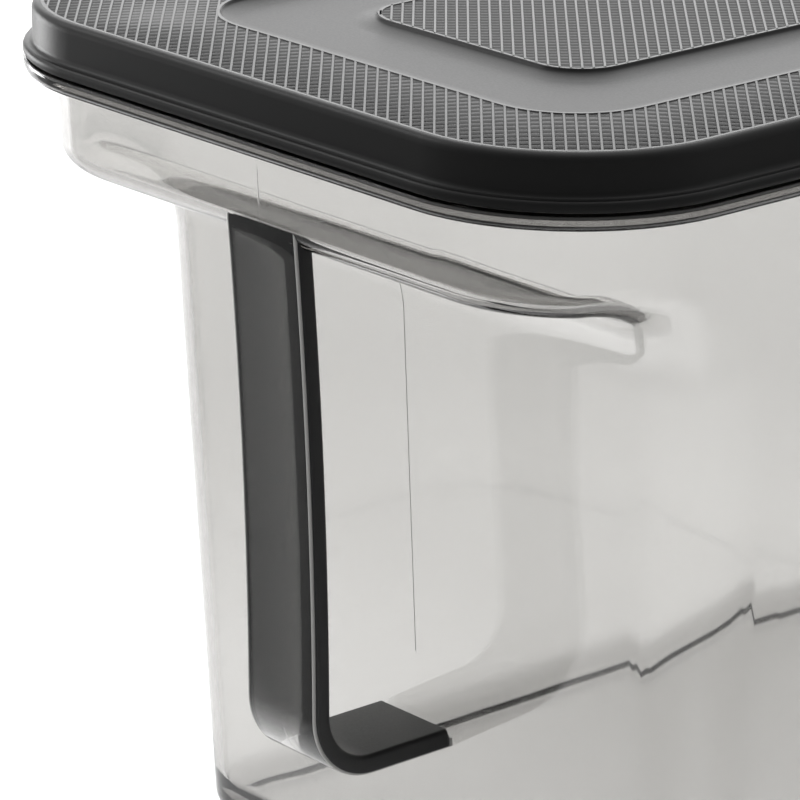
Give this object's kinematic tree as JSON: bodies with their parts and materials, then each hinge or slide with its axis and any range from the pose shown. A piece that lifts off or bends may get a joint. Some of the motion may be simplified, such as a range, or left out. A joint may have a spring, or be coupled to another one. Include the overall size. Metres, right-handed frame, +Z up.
{
  "type": "dry food container",
  "caption": "Clear rectangular food keeper with an overhung end, a pull-handle strap with a dark grip under it, and a dark textured press-on lid with a seal.",
  "frame": {"origin": "middle of the footprint, on the surface that the tub stands on", "axes": "+Z up; +Y along the tub's length, away from the handle end; +X across the tub"},
  "size_m": [0.172, 0.26, 0.175],
  "materials": {
    "clear_plastic": "polished",
    "grip_rubber": "satin",
    "lid_plastic": "satin",
    "seal_rubber": "matte"
  },
  "bodies": {
    "tub": {"body": "clear_plastic", "handle_grip": "grip_rubber"},
    "lid": {"lid": "lid_plastic", "lid_seal": "seal_rubber"}
  },
  "joints": [
    {"name": "lid_lift", "type": "slide", "parent": "tub", "child": "lid", "axis": [0, 0, 1], "range_m": [0, 0.06]}
  ]
}
